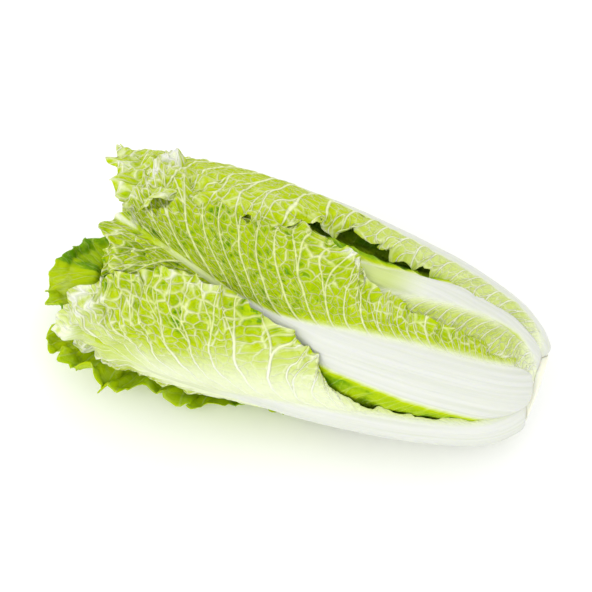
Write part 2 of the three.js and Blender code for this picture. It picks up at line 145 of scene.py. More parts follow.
# From the outermost leaf inward: d lies below, a over the back, c over the front and b over
# the top, where f shows between a and b. The others fill the head.
LEAVES = {
    "leaf_d": {
        "depth": 0, "angle": -114, "twist": 20, "length": 332, "flare": 9, "grid": (300, 56),
        # Painted shade greens its minus side and midrib, painted light pales its underlit plus
        # margin.
        "green": (1.12, 0.74), "white": (3, 3), "fold": 2.0, "frill": 4.2, "crest_light": 0.05,
        "teeth": 2.0, "crumple": 6.0, "hem": (0.15, 0.1), "pucker": 1.8, "relief": 0.8,
        "rib_green": (0.9, 0.45), "vein": (0.1, 0.1), "tip_vein": (0.09, 0.09),
        "minus": [[0, 15], [0.1, 26], [0.3, 38], [0.5, 52], [0.68, 63], [0.8, 62], [0.88, 50],
                  [0.94, 28], [0.98, 10], [1, 0]],
        "plus": [[0, 15], [0.1, 24], [0.25, 34], [0.4, 53], [0.55, 70], [0.7, 71], [0.82, 65],
                 [0.9, 57], [0.96, 43], [0.99, 20], [1, 0]]},
    "leaf_a": {
        "depth": 3, "angle": 138, "length": 312, "flare": 2, "grid": (280, 68),
        "green": (0.66, 0.68), "white": (8, 12), "fold": 2.5, "frill": 4.0, "calm": 0.12,
        "heel": (0.6, 0.05, 0.34, 0), "lean": 0.7, "rib": (0.6, 1.0), "settle": 8.5,
        "rib_path": [[0, 4], [0.1, 14], [0.3, 15], [0.45, 18], [0.6, 14], [1, 6]],
        "base_green": (0.55, 0.8), "pucker": 1.3, "vein": (0.5, 0.45), "tip_vein": (0.7, 0.7),
        "swing": 0.3, "crumple": 7.0, "hem": (0.35, 0.2), "teeth": 1.4, "crest_light": 0.05,
        "minus": [[0, 12], [0.05, 10], [0.09, 10], [0.13, 15], [0.17, 22], [0.205, 25],
                  [0.245, 18], [0.3, 16], [0.36, 16], [0.41, 19], [0.46, 22.5], [0.5, 23.5],
                  [0.55, 26.5], [0.58, 34], [0.63, 52], [0.66, 56.5], [0.7, 55], [0.76, 53],
                  [0.84, 56], [0.895, 66], [0.94, 54], [0.975, 30], [1, 0]],
        "plus": [[0, 15], [0.1, 32], [0.3, 50], [0.5, 64], [0.68, 76], [0.82, 70], [0.93, 46],
                 [0.99, 18], [1, 0]]},
    "leaf_c": {
        "depth": 3.5, "angle": -15, "length": 316, "flare": 3, "grid": (280, 68),
        "green": (0.8, 0.96), "white": (34, 74), "fold": 4.0, "frill": 3.6, "calm": 0.34,
        "heel": (0.6, 0.0, 0.3, 0), "lean": 1.25, "base_green": (0.7, 0.7), "settle": 2.5,
        "crumple": 6.0, "hem": (0.3, 0.5), "teeth": 1.3, "tip_green": 0.62, "crest_light": 0.1,
        # Past its crease the blade turns from the light, and painted shade draws it a little
        # greener.
        "crease": [[0.4, 60], [0.615, 73], [0.652, 69], [0.723, 59], [0.8, 45], [0.9, 22]],
        "minus": [[0, 15], [0.1, 22], [0.3, 32], [0.5, 48], [0.7, 60], [0.83, 52], [0.93, 30],
                  [0.965, 14], [0.97, 0]],
        "plus": [[0, 15], [0.12, 19], [0.29, 19.5], [0.385, 26], [0.42, 37], [0.46, 50],
                 [0.5, 61], [0.57, 73], [0.68, 83], [0.76, 80], [0.86, 63], [0.93, 40],
                 [0.965, 22], [0.97, 0]]},
    "leaf_g": {
        "depth": 7, "angle": -150, "twist": 6, "length": 304, "flare": 2, "grid": (150, 40),
        "green": (0.8, 0.8), "fold": 1.0, "frill": 2.0, "heel": (0.6, 0.0, 0.3, 0),
        "minus": [[0, 15], [0.1, 28], [0.3, 44], [0.5, 54], [0.68, 60], [0.82, 54], [0.93, 36],
                  [1, 0]]},
    "leaf_b": {
        "depth": 8.5, "angle": 39.5, "twist": 32, "twist_from": 0.42, "length": 299, "flare": 3,
        "grid": (280, 68), "green": (0.97, 0.93), "white": (1.4, 1.8), "fold": 6.5, "frill": 4.4,
        "teeth": 1.4, "pucker": 1.3, "calm": 0.18, "heel": (0.55, 0.2, 0.52, 0),
        "vein": (0.06, 0.8), "base_green": (1.0, 0.7), "rib_green": (0.4, 0.62), "settle": 4.0,
        "crumple": 8.0, "hem": (0.2, 0.8),
        "minus": [[0, 15], [0.1, 27], [0.25, 40], [0.4, 46], [0.55, 52], [0.7, 60], [0.82, 56],
                  [0.9, 46], [0.955, 30], [0.975, 14], [0.965, 0]],
        "plus": [[0, 15], [0.13, 26], [0.27, 31], [0.37, 37], [0.42, 44], [0.46, 54], [0.5, 61],
                 [0.55, 65.5], [0.62, 72], [0.68, 78], [0.75, 80], [0.86, 68], [0.94, 48],
                 [0.975, 20], [0.965, 0]]},
    "leaf_h": {
        "depth": 11.5, "angle": -60, "twist": 4, "length": 296, "flare": 2,
        "heel": (0.5, 0.0, 0.3, 0), "curl": 3},
    "leaf_f": {
        "depth": 14, "angle": 101, "length": 292, "flare": 2, "grid": (150, 40),
        # Painted shade: its plus side takes the greenest blade for the dark slit behind leaf_a.
        "green": (0.8, 1.0), "white": (6, 3), "fold": 1.0, "heel": (0.5, 0.14, 0.44, 0.24),
        "heel_reach": ((16, 44), (12, 40)), "rib": (0.56, 0.5),
        "rib_path": [[0, 5], [0.1, 14], [0.2, 10], [0.27, 6], [0.35, 0], [0.43, -6], [0.5, -8],
                     [1, -8]],
        # Its midrib greens early: partly its own colour, partly painted shade under leaf_a and
        # leaf_b.
        "rib_green": (0.45, 0.3), "base_green": (0.6, 1.0), "vein": (0.8, 0.05),
        "tip_vein": (1.0, 0.05),
        "minus": [[0, 13], [0.1, 20], [0.25, 33], [0.4, 48], [0.6, 60], [0.8, 60], [0.93, 40],
                  [1, 0]],
        "plus": [[0, 14], [0.1, 26], [0.25, 36], [0.4, 42], [0.6, 46], [0.8, 46], [0.93, 30],
                 [1, 0]]},
    "leaf_i": {"depth": 18, "angle": 185, "length": 288, "curl": 6},
    "leaf_j": {
        "depth": 17, "angle": -20, "length": 288, "minus": NARROW_OUTLINE, "plus": NARROW_OUTLINE,
        "curl": 5},
    "leaf_k": {"depth": 22, "angle": 60, "length": 284, "green": (0.55, 0.55), "curl": 8},
    "leaf_l": {
        "depth": 23, "angle": -100, "length": 284, "plus": NARROW_OUTLINE, "green": (0.5, 0.5),
        "curl": 9},
    "leaf_m": {
        "depth": 27, "angle": 140, "length": 280, "plus": NARROW_OUTLINE, "green": (0.45, 0.45),
        "curl": 10},
    "leaf_n": {
        "depth": 30.5, "angle": 0, "length": 278, "minus": NARROW_OUTLINE, "plus": NARROW_OUTLINE,
        "green": (0.4, 0.4), "curl": 12},
    "leaf_o": {
        "depth": 34, "angle": -140, "length": 274, "minus": NARROW_OUTLINE,
        "plus": NARROW_OUTLINE, "green": (0.35, 0.35), "curl": 13},
}

HEART_LEAF = {"flare": 0, "root": 46, "minus": HEART_OUTLINE, "plus": HEART_OUTLINE,
              "grid": (64, 16), "green": (0.3, 0.3), "white": (6, 6), "crumple": 3.0}
# Depth, angle, length and curl of each.
HEART_LEAVES = [(38, 200, 284, 14), (38.5, 40, 280, 14), (40.5, 120, 280, 14),
                (40.5, -60, 276, 14), (43, 0, 272, 14), (43.5, 170, 268, 14),
                (45, 85, 263, 14), (45.5, -100, 259, 14), (49, 130, 256, 8),
                (51, -30, 252, 7), (54, 60, 248, 6), (57, -120, 244, 4)]

# ---- Small helpers ------------------------------------------------------------------------


def linear(hex_colour):
    """sRGB hex, such as 'a5cc14', as a linear colour."""
    channels = [int(hex_colour[i:i + 2], 16) / 255 for i in (0, 2, 4)]
    return tuple(c / 12.92 if c <= 0.04045 else ((c + 0.055) / 1.055) ** 2.4
                 for c in channels)


def smooth(value, low, high):
    x = np.clip((value - low) / (high - low), 0, 1)
    return x * x * (3 - 2 * x)


def table(points, x):
    places, values = zip(*points)
    return np.interp(x, places, values)


def turned(angle):
    """The same angle between -180 and 180 degrees."""
    return angle - TAU * np.round(angle / TAU)


def curve_at(points, lead, tail, x):
    """Catmull-Rom curve through points, at positions x counted in points."""
    chain = np.array([lead, *points, tail], float)
    i = np.clip(np.floor(x), 0, len(points) - 2).astype(int)
    f = (x - i)[..., None]
    a, b, c, d = (chain[i + k] for k in range(4))
    return 0.5 * (2 * b + (c - a) * f + (2 * a - 5 * b + 4 * c - d) * f * f
                  + (3 * b - a - 3 * c + d) * f ** 3)


def past_end(points):
    (px, pr), (qx, qr) = points[-2:]
    return [2 * qx - px, 2 * qr - pr]


GRAIN_SIZE = 64
GRAIN = np.random.default_rng(7).random((GRAIN_SIZE, GRAIN_SIZE))


def grain(x, y, seed=0):
    """Smooth noise from 0 to 1 with one bump to the unit, the same on every run."""
    x = np.asarray(x, float) + 17.3 * seed
    y = np.asarray(y, float) + 5.7 * seed
    i, j = np.floor(x).astype(int), np.floor(y).astype(int)
    f, g = x - i, y - j
    f, g = f * f * (3 - 2 * f), g * g * (3 - 2 * g)
    low, high = [GRAIN[i % GRAIN_SIZE, row % GRAIN_SIZE] * (1 - f)
                 + GRAIN[(i + 1) % GRAIN_SIZE, row % GRAIN_SIZE] * f for row in (j, j + 1)]
    return low * (1 - g) + high * g


def creases(x, y, seed):
    """Noise from 0 to 1 with sharp crests, for crumpled leaf."""
    return 1 - np.abs(2 * grain(x, y, seed) - 1)


# ---- The formula of the head --------------------------------------------------------------


def profile_at(t, depth):
    """[distance along the head, radius] at share t of the arc, on the profile of that depth."""
    x = np.clip(t, 0, 1.1) * (len(OUTER_PROFILE) - 1)
    outer = curve_at(OUTER_PROFILE, OUTER_LEAD, past_end(OUTER_PROFILE), x)
    inner = curve_at(INNER_PROFILE, INNER_LEAD, past_end(INNER_PROFILE), x)
    share = (np.asarray(depth, float) / HEAD_DEPTH)[..., None]
    return outer + (inner - outer) * share


def fullness(t, phi):
    off = np.maximum(0, np.cos(turned(phi - FULLER_SIDE["angle"])))
    return FULLER_SIDE["height"] * off * off * smooth(t, FULLER_SIDE["start"],
                                                      FULLER_SIDE["stop"])


def slit_depth(t, phi, depth):
    off = np.abs(turned(phi - SLIT["angle"])) / SLIT["half"]
    along = (smooth(t, SLIT["start"], SLIT["start"] + 0.1)
             * (1 - smooth(t, SLIT["stop"] - 0.1, SLIT["stop"])))
    layer = smooth(depth, 4, 16) * (1 - smooth(depth, 16, HEAD_DEPTH))
    return SLIT["depth"] * layer * along * (1 - smooth(off, 0.35, 1))


def head_point(t, phi, depth):
    """Points of the head: share t of the arc, angle phi round it, depth under the outside."""
    x, round_ = np.moveaxis(profile_at(t, depth + slit_depth(t, phi, depth)), -1, 0)
    radius = round_ + fullness(t, phi) * round_ / FULLER_RADIUS
    lift = radius * np.sin(phi)
    cosine, sine = math.cos(HEAD_TILT), math.sin(HEAD_TILT)
    return np.stack([STEM_CENTRE[0] - x * cosine + lift * sine,
                     STEM_CENTRE[1] - radius * np.cos(phi),
                     STEM_CENTRE[2] + x * sine + lift * cosine], -1)


def measure_outline(points, length):
    """One side of a leaf's outline as samples of share and width along the margin."""
    before = [-points[1][0], 2 * points[0][1] - points[1][1]]
    across_tip = [1, -points[-2][1]]
    x = np.arange(OUTLINE_SAMPLES + 1) / OUTLINE_SAMPLES * (len(points) - 1)
    share, width = curve_at(points, before, across_tip, x).T
    share, width = np.clip(share, 0, 1), np.maximum(width, 0)
    steps = np.hypot(np.diff(share) * length, np.diff(width))
    return {"share": share, "width": width, "arc": np.concatenate([[0], np.cumsum(steps)])}


def finished_leaf(name, number, values):
    leaf = {**PLAIN_LEAF, **values, "name": name, "number": number}
    leaf["sides"] = [measure_outline(leaf[side], leaf["length"]) for side in ("minus", "plus")]
    return leaf


leaves = [finished_leaf(name, number, LEAVES[name]) for number, name in enumerate(LEAVES)]
heart_leaves = [
    finished_leaf(f"heart_{place + 1}", len(LEAVES) + place,
                  {**HEART_LEAF, "depth": depth, "angle": angle, "length": length,
                   "curl": curl})
    for place, (depth, angle, length, curl) in enumerate(HEART_LEAVES)]


def midrib_angle(leaf, t):
    return np.radians(leaf["angle"] + leaf["twist"] * smooth(t, leaf["twist_from"], 1))


def cover_at(leaf, t, phi):
    """1 where an outer leaf lies on this one, 0 where it is free, with a soft edge."""
    cover = np.zeros_like(t)
    for other in leaves:
        if other["depth"] >= leaf["depth"]:
            continue
        share = t * HEAD_ARC / other["length"]
        off = turned(phi - midrib_angle(other, t))
        widths = [np.interp(share, side["share"], side["width"]) for side in other["sides"]]
        radius = profile_at(t, np.full_like(t, other["depth"]))[..., 1]
        inside = np.where(off < 0, *widths) - np.abs(off) * radius
        covered = smooth(inside, -COVER_EDGE, COVER_EDGE)
        cover = np.maximum(cover, np.where(share < 1, covered, 0))
    return cover


def phase(leaf, which):
    """Where a leaf's waves start, different for each leaf and each kind of wave."""
    return TAU * ((leaf["number"] * 0.618 + which * 0.383) % 1)


# ---- Veins and fine relief ----------------------------------------------------------------

# Side veins counted from the base: they stand 7 mm apart there and 14 mm towards the tip.
VEIN_COUNT = [[0, 0], [0.2, 8.5], [0.35, 13.5], [0.5, 17.5], [0.7, 22.1], [1, 28.5]]
# How far a side vein runs forward beside the midrib before it turns outward, the width of
# that turn, and how much it bends back beyond it.
VEIN_RUN = [[0, 12], [0.25, 22], [0.5, 25], [0.65, 42], [1, 50]]
VEIN_TURN = [[0, 8], [0.5, 10], [0.7, 22], [1, 22]]
VEIN_RETURN = [[0, 0.35], [0.5, 0.3], [0.62, 0.0], [1, 0.0]]
RETURN_FROM = 28       # the distance from the midrib at which that starts
VEIN_GAP = 12.0        # the pattern's width from one side vein to the next
CELL = 5.4             # cell of the vein net between the side veins
FINE_CELL = 2.5        # cell of the finest net
JOG = 2.2              # how far the cells of the net are pushed about
JOG_LENGTH = 5         # length over which that changes
LEAF_STRIDE = 1000.0   # keeps each leaf's pattern apart from the next one's

PUCKER_LENGTH = 8
FOLD_LENGTH = 23
CREASE_HEIGHT = 2.6
# Length, width, seed and share of the height.
CRUMPLES = [(15, 11, 20, 1.0), (7, 5.5, 21, 0.45)]
# How far beyond the midrib the blade stays pale, as a share of the leaf's own "white", and
# the width of the turn to green.
PALE_REACH = [[0, 0.35], [0.35, 0.7], [0.6, 1], [0.75, 0.6], [1, 0.3]]
GREEN_TURN = [[0, 5], [0.5, 4], [0.62, 1.2], [0.7, 0.4], [1, 0.4]]

# Waves along the margin. Each has its length, how fast it changes from row to row, its seed
# and mean, its height, and the power by which it grows towards the margin.
TEETH = [(3.2, 0, 1, 0.5, 3.4, 0), (7.5, 0, 2, 0.5, 4.5, 0)]
SWAY = [(9, 0, 6, 0.5, 2.4, 3), (4.5, 0, 10, 0.5, 1.6, 8)]
RUFFLE = [(7.5, 2, 4, 0.35, 1.9, 3), (4.2, 3, 5, 0.5, 1.1, 8), (2.4, 4, 7, 0.5, 0.5, 12)]
TIP_RUFFLE = [(10, 1.5, 32, 0.4, 2.6, 2)]


def margin_waves(rows, leaf, at):
    return sum((grain(at.arc / length, change * at.v + leaf["number"], seed) - mean)
               * height * at.v ** power
               for length, change, seed, mean, height, power in rows)


def place_on_leaf(leaf, q, v):
    """Where each point of the grid lies on its leaf and on the head, in millimetres.

    q runs along the margin, from the base (-1) over the tip (0) back to the base (1), and v
    from the midrib (0) to the margin (1).
    """
    q = np.where(v < 1e-6, -np.abs(q), q)
    at = SimpleNamespace(v=v, minus=q < 0)
    sides = leaf["sides"]
    total = np.where(at.minus, *[side["arc"][-1] for side in sides])
    from_base = (1 - np.abs(q)) * total
    margin_share, half_width = [
        np.where(at.minus, *[np.interp(from_base, side["arc"], side[key]) for side in sides])
        for key in ("share", "width")]
    at.arc = q * total
    rib_share = margin_share * (1 - VEIN_SWEEP)
    at.share = rib_share + (margin_share - rib_share) * v
    at.along = at.share * leaf["length"]

    # The margin is cut in small steps, only at its very edge.
    at.edge = v ** 8 * smooth(half_width, 8, 24) * smooth(at.share, 0.06, 0.22)
    cut = leaf["teeth"] * margin_waves(TEETH, leaf, at)
    at.across = np.sign(q) * half_width * v + np.sign(q) * cut * at.edge

    at.t = at.along / HEAD_ARC
    radius = np.maximum(profile_at(at.t, np.full_like(at.t, leaf["depth"]))[..., 1], 8)
    at.phi = midrib_angle(leaf, at.t) + at.across / radius
    at.cover = cover_at(leaf, at.t, at.phi)
    at.free = 1 - at.cover
    at.off_rib = at.across - table(leaf["rib_path"], at.share)
    at.reach = np.abs(at.off_rib)
    at.rib_edge = table(RIB_HALF_WIDTHS, at.share) * leaf["rib"][0]
    at.blade = smooth(at.reach, at.rib_edge * 0.8, at.rib_edge * 1.15 + 3)
    at.low_margin = smooth(v, 0.55, 0.9) * (1 - smooth(at.share, 0.3, 0.5))
    return at


def rib_height(leaf, at):
    x = np.maximum(0, 1 - (at.off_rib / at.rib_edge) ** 2)
    rounded = 0.3 + 0.7 * smooth(at.along, 0, 8)
    return (leaf["rib"][1] * table(RIB_HEIGHTS, at.share) * x ** 0.8 * (1 - 0.8 * at.cover)
            * rounded)


def wave_lift(leaf, at):
    """How far the margin's long waves lift the leaf outward."""
    slow = 1.2 * np.sin(TAU * at.arc / SLOW_WAVE + phase(leaf, 1))
    wave = 0.5 + 0.5 * np.sin(TAU * at.arc / MARGIN_WAVE + phase(leaf, 0) + slow)
    free = MARGIN_SWING * at.free * at.v ** 3 * smooth(at.share, leaf["calm"],
                                                       leaf["calm"] + 0.25)
    return wave * (free * leaf["swing"] + COVERED_SWING * at.cover * at.v * at.v)


def side_veins(leaf, at):
    """Numbers of the side veins, distances from their forks, and distances run along them.

    Whole numbers lie on a vein. The veins alternate on the two sides of the midrib.
    """
    number = leaf["number"]
    reach = np.maximum(at.reach - 0.7 * at.rib_edge, 0)
    wander = (5.0 * (grain(at.along / 38, at.off_rib / 24, number) - 0.5)
              + 2.6 * (grain(at.along / 13, at.off_rib / 13, number + 51) - 0.5))
    turning = 1 - np.exp(-reach / table(VEIN_TURN, at.share))
    forward = (leaf["lean"] * table(VEIN_RUN, at.share) * turning
               - table(VEIN_RETURN, at.share) * np.maximum(reach - RETURN_FROM, 0))
    start = np.clip((at.along - forward + wander) / leaf["length"], 0, 1)
    veins = table(VEIN_COUNT, start) + np.where(at.off_rib < 0, 0.5, 0)

    # Each side vein sends a fork forward, which ends half way to the next vein.
    whole = np.floor(veins)
    fork_from = 0.2 + 0.45 * grain(whole * 3.7, 0.5, number + 50)
    fork = veins - whole - 0.5 * smooth(at.v, fork_from, fork_from + 0.4)
    return veins, fork, np.sign(at.off_rib) * np.hypot(reach, forward)


def vein_ridge(at, veins, fork):
    """1 on a side vein or its fork and 0 beside it, narrower towards the margin."""
    away = np.minimum(np.abs(veins - np.round(veins)), 1.3 * np.abs(fork)) * VEIN_GAP
    return np.exp(-(away / (2.0 - 0.9 * at.v)) ** 2) * at.blade


def fine_relief(leaf, at, vein, frill, settings):
    """Relief height, crests and hollows for painted light and shade, and painted shade past a
    crease.

    Puckers, lengthwise folds and the frill of the margin come in waves that shorten outward.
    """
    number, v, share = leaf["number"], at.v, at.share
    along, across = at.along, at.across
    pucker = grain(along / PUCKER_LENGTH, across / PUCKER_LENGTH, number + 3) - 0.4
    pucker = leaf["pucker"] * settings.pucker / MM * pucker
    fold_wave = ((along + 0.35 * at.reach) / FOLD_LENGTH
                 + 0.6 * grain(along / 45, across / 40, number))
    fold = leaf["fold"] * (0.5 + 0.5 * np.sin(TAU * fold_wave + phase(leaf, 2)))
    fold = fold * smooth(v, 0.15, 0.7) * smooth(share, 0.42, 0.75)
    at_tip = smooth(share, 0.72, 0.9)
    short_fold = 0.5 + 0.5 * np.sin(TAU * (2.1 * fold_wave + grain(along / 30, across / 20, 31)))
    fold = fold + 0.5 * leaf["fold"] * short_fold * v * at_tip
    ruffle = frill * (margin_waves(RUFFLE, leaf, at)
                      + margin_waves(TIP_RUFFLE, leaf, at) * at_tip)
    crumple = sum(part * (creases(along / length, across / width, number + seed) - 0.5)
                  for length, width, seed, part in CRUMPLES)
    crumple = leaf["crumple"] * smooth(share + 0.25 * v, 0.8, 1.1) * crumple
    height = (settings.vein_height / MM * vein * (1 - 0.5 * v) + crumple
              + pucker * (0.4 + 0.6 * v + at.low_margin) * at.blade + fold
              + ruffle * at.blade)
    crease_shade = 0
    if leaf["crease"]:
        past = across - table(leaf["crease"], share)
        ridge = smooth(past, -14, 0) * (1 - smooth(past, 0, 16)) * smooth(share, 0.5, 0.62)
        height = height + CREASE_HEIGHT * ridge
        # Past the crease the blade gets painted shade in leaf_tint.
        crease_shade = smooth(past, -3, 6) * smooth(share, 0.46, 0.58)
    # Under another leaf most of it is pressed flat.
    shown = at.free + at.cover * (0.25 + 0.6 * at_tip)
    height = height * shown - leaf["settle"] * v * v * (1 - smooth(share, 0.8, 0.95))
    # How far each point is a crest, or below zero a hollow, for the painted light and shade in
    # leaf_tint.
    crest_light = shown * np.clip(crumple + ruffle + pucker * (0.4 + 0.6 * v), -1.5, 3)
    return height, crest_light, crease_shade


def sink(leaf, at):
    """How much deeper in the head the leaf lies for its root, its tip and its heel."""
    root = 0
    if leaf["root"] is not None:
        root = (leaf["root"] - leaf["depth"]) * (1 - smooth(at.t, 0.1, 0.3))
    amount, heel_from, heel_to, at_cut = leaf["heel"]
    fade_from, fade_to = [np.where(at.off_rib < 0, *ends) for ends in zip(*leaf["heel_reach"])]
    near_rib = 1 - smooth(at.reach - at.rib_edge, fade_from, fade_to)
    heel = leaf["depth"] * near_rib * (amount * (1 - smooth(at.t, heel_from, heel_to))
                                       + at_cut * (1 - smooth(at.t, 0, 0.1)))
    return root + leaf["curl"] * smooth(at.share, 0.66, 1.0) - heel


def leaf_tint(leaf, at, crest_light, crease_shade):
    """How green each point is, whether it lies on the midrib, and how clear its veins are.

    The blade is pale by the midrib and turns green outward, later towards the tip.
    """
    v, share = at.v, at.share
    most, white, base_green, pale_hem, clear, clear_tip = [
        np.where(at.minus, *leaf[key])
        for key in ("green", "white", "base_green", "hem", "vein", "tip_vein")]
    beyond = at.reach - at.rib_edge
    pale_reach = white * table(PALE_REACH, share)
    turn = table(GREEN_TURN, share)
    # Towards the tip the midrib is no paler than the blade.
    all_blade = 0.85 * smooth(share, 0.74, 0.94)
    off_pale = np.maximum(all_blade, smooth(beyond, 0.15 * pale_reach - 1,
                                            1.05 * pale_reach + turn))
    green = most * (0.06 + 0.94 * off_pale)
    green = green + most * at.free * (0.25 * smooth(v, 0.8, 1) + 0.2 * at.low_margin)
    # Painted shade: past a crease the blade faces away from the light and is drawn a little
    # greener.
    green = green + 0.04 * crease_shade
    green = green * (1 - (1 - leaf["tip_green"]) * smooth(share + 0.1 * v, 0.86, 1.02))
    green = green * (base_green + (1 - base_green) * smooth(share, 0.32, 0.58))
    # Painted light and shade: crests of the relief are drawn paler and its hollows greener.
    green = green * smooth(share, 0.0, 0.14) * (1 - leaf["crest_light"] * crest_light)
    # The margin pales in spots 3 mm long.
    hem_row = v + 0.15 * smooth(share, 0.78, 0.95)
    hem = pale_hem * smooth(hem_row, 0.82, 1) * smooth(share, 0.34, 0.5)
    green = green - hem * smooth(grain(at.arc / 3.2, 14 * v + leaf["number"], 40), 0.3, 0.7)
    ribbed = 1 - smooth(at.reach, at.rib_edge * 0.8, at.rib_edge * 1.1 + 1)
    ribbed = ribbed * (1 - all_blade)
    # Green creeps up the midrib from its own share of the length on.
    rib_green, green_from = leaf["rib_green"]
    rib_green = rib_green * smooth(share, green_from, green_from + 0.12)
    green = green * (1 - ribbed) + ribbed * rib_green
    # The veins are faint where the blade is still pale.
    clear = clear + (clear_tip - clear) * smooth(share, 0.48, 0.62)
    strength = clear * (0.18 + 0.82 * smooth(beyond, 0.1 * pale_reach, pale_reach + 2 * turn))
    return np.clip(green, 0, 1), ribbed, strength


def leaf_field(leaf, q, v, settings):
    """All that a leaf's grid carries at margin position q and row v, in millimetres."""
    at = place_on_leaf(leaf, q, v)
    rib = rib_height(leaf, at)
    veins, fork, run = side_veins(leaf, at)
    frill = leaf["frill"] * smooth(at.share, leaf["calm"] - 0.1, leaf["calm"] + 0.2)
    height, crest_light, crease_shade = fine_relief(leaf, at, vein_ridge(at, veins, fork), frill, settings)
    flare = leaf["flare"] * at.free * smooth(at.share, 0.55, 1) * v * v
    lift = rib / 2 + flare + wave_lift(leaf, at) + height
    # A frill also sways along the margin, so that it curls over instead of only rising.
    swayed = at.t + at.free * frill * margin_waves(SWAY, leaf, at) / HEAD_ARC
    green, ribbed, strength = leaf_tint(leaf, at, crest_light, crease_shade)
    # The cells are deepest where the veins are clear, the blade free and the margin near.
    crinkle = np.maximum(strength, leaf["relief"]) * (0.35 + 0.65 * v) * at.blade
    crinkle = crinkle * (0.35 + 0.65 * at.free) * (1 - 0.6 * at.edge)
    jog_x, jog_y = [JOG * (grain(at.along / JOG_LENGTH, at.across / JOG_LENGTH,
                                 leaf["number"] + seed) - 0.5) for seed in (8, 9)]
    across_veins = veins * VEIN_GAP + jog_x + leaf["number"] * LEAF_STRIDE
    return {"point": head_point(swayed, at.phi, leaf["depth"] + sink(leaf, at) - lift),
            "thick": settings.blade / MM * (1 - 0.4 * v ** 4) + rib,
            "carried": {"place": np.stack([across_veins, run + jog_y, v], -1),
                        "tint": np.stack([green, ribbed, strength], -1),
                        "fibre": np.stack([at.along, at.across,
                                           np.full_like(v, leaf["number"])], -1),
                        "vein": veins, "fork": fork, "crinkle": crinkle}}


# ---- Nodes and materials ------------------------------------------------------------------

# Patterns on Object coordinates, in bumps to the metre.
DRIFT = 50.0         # the green drifts over 20 mm
GLINT_SPOTS = 300.0       # painted highlight spots 3.3 mm across, for crests of the finest puckers
SKIN = 900.0         # skin grain of 1.1 mm, coarser than real so that it shows
MOTTLE = 320.0       # the cut flesh is uneven over 3.1 mm
FIBRE_ENDS = 420.0   # cut fibres 2.4 mm apart
PAPER_TOOTH = 700.0  # 1.4 mm, coarser than real so that it shows
# Patterns on a leaf's own coordinates, in bumps to the millimetre.
UNEVEN = 0.16        # width of the net's veins, over 6.3 mm
PATCHY = 0.3         # how clearly the net shows, over 3.3 mm
FIBRE_STRETCH = (0.008, 0.4, 1)   # fibres 125 mm long and 2.5 mm apart

# How strong the fibres show from the middle of the cut stem (0) to its edge (1).
STEM_RING = [(0.0, 0.0), (0.55, 0.1), (0.72, 0.9), (0.86, 0.2), (1.0, 0.0)]


def connect(tree, node, links):
    """Links a node's inputs to sockets or sets them to values, by name or number."""
    for name, value in links.items():
        if isinstance(value, bpy.types.NodeSocket):
            tree.links.new(value, node.inputs[name])
        else:
            node.inputs[name].default_value = value


def add(tree, kind, links=None, out=0, **settings):
    """Adds a node, sets its properties and its inputs, and returns one of its outputs.

    The output is chosen by name or number. With out=None the node itself is returned.
    """
    node = tree.nodes.new(kind)
    node.location = (180 * len(tree.nodes), 0)
    for name, value in settings.items():
        setattr(node, name, value)
    connect(tree, node, links or {})
    return node if out is None else node.outputs[out]


def new_material(name):
    """A material with its node tree and the node of its surface."""
    material = bpy.data.materials.new(name)
    material.use_nodes = True
    tree = material.node_tree
    return material, tree, tree.nodes["Principled BSDF"]


def vein_net(tree, place):
    """Distance from the nearest vein of the net and of the finest net, in cells."""
    return [add(tree, "ShaderNodeTexVoronoi",
                {"Vector": place, "Scale": 1 / size, "Randomness": 0.8}, out="Distance",
                voronoi_dimensions="2D", feature="DISTANCE_TO_EDGE")
            for size in (CELL, FINE_CELL)]


def crinkle_nodes(height):
    """Geometry nodes that sink each cell of the vein net below the veins round it."""
    tree = bpy.data.node_groups.new("Leaf cells", "GeometryNodeTree")
    for direction in ("INPUT", "OUTPUT"):
        tree.interface.new_socket("Geometry", in_out=direction,
                                  socket_type="NodeSocketGeometry")
    source = add(tree, "NodeGroupInput", out="Geometry")
    place, amount = [add(tree, "GeometryNodeInputNamedAttribute", {"Name": name},
                         out="Attribute", data_type=kind)
                     for name, kind in (("place", "FLOAT_VECTOR"), ("crinkle", "FLOAT"))]
    wall, _ = vein_net(tree, place)
    sunk = add(tree, "ShaderNodeMapRange", {"Value": wall, "From Max": 0.4},
               interpolation_type="SMOOTHSTEP")
    sunk = add(tree, "ShaderNodeMath", {0: sunk, 1: amount}, operation="MULTIPLY")
    inward = add(tree, "ShaderNodeMath", {0: sunk, 1: -height}, operation="MULTIPLY")
    normal = add(tree, "GeometryNodeInputNormal")
    offset = add(tree, "ShaderNodeVectorMath", {0: normal, "Scale": inward}, operation="SCALE")
    moved = add(tree, "GeometryNodeSetPosition", {"Geometry": source, "Offset": offset})
    add(tree, "NodeGroupOutput", {"Geometry": moved}, out=None)
    return tree


def shades(tree, value, stops):
    """The colour that stands at that value among (place, linear colour) stops."""
    ramp = add(tree, "ShaderNodeValToRGB", {"Fac": value}, out=None)
    elements = ramp.color_ramp.elements
    for element, (place, colour) in zip(elements, (stops[0], stops[-1])):
        element.position = place
        element.color = (*colour, 1)
    for place, colour in stops[1:-1]:
        elements.new(place).color = (*colour, 1)
    return ramp.outputs["Color"]


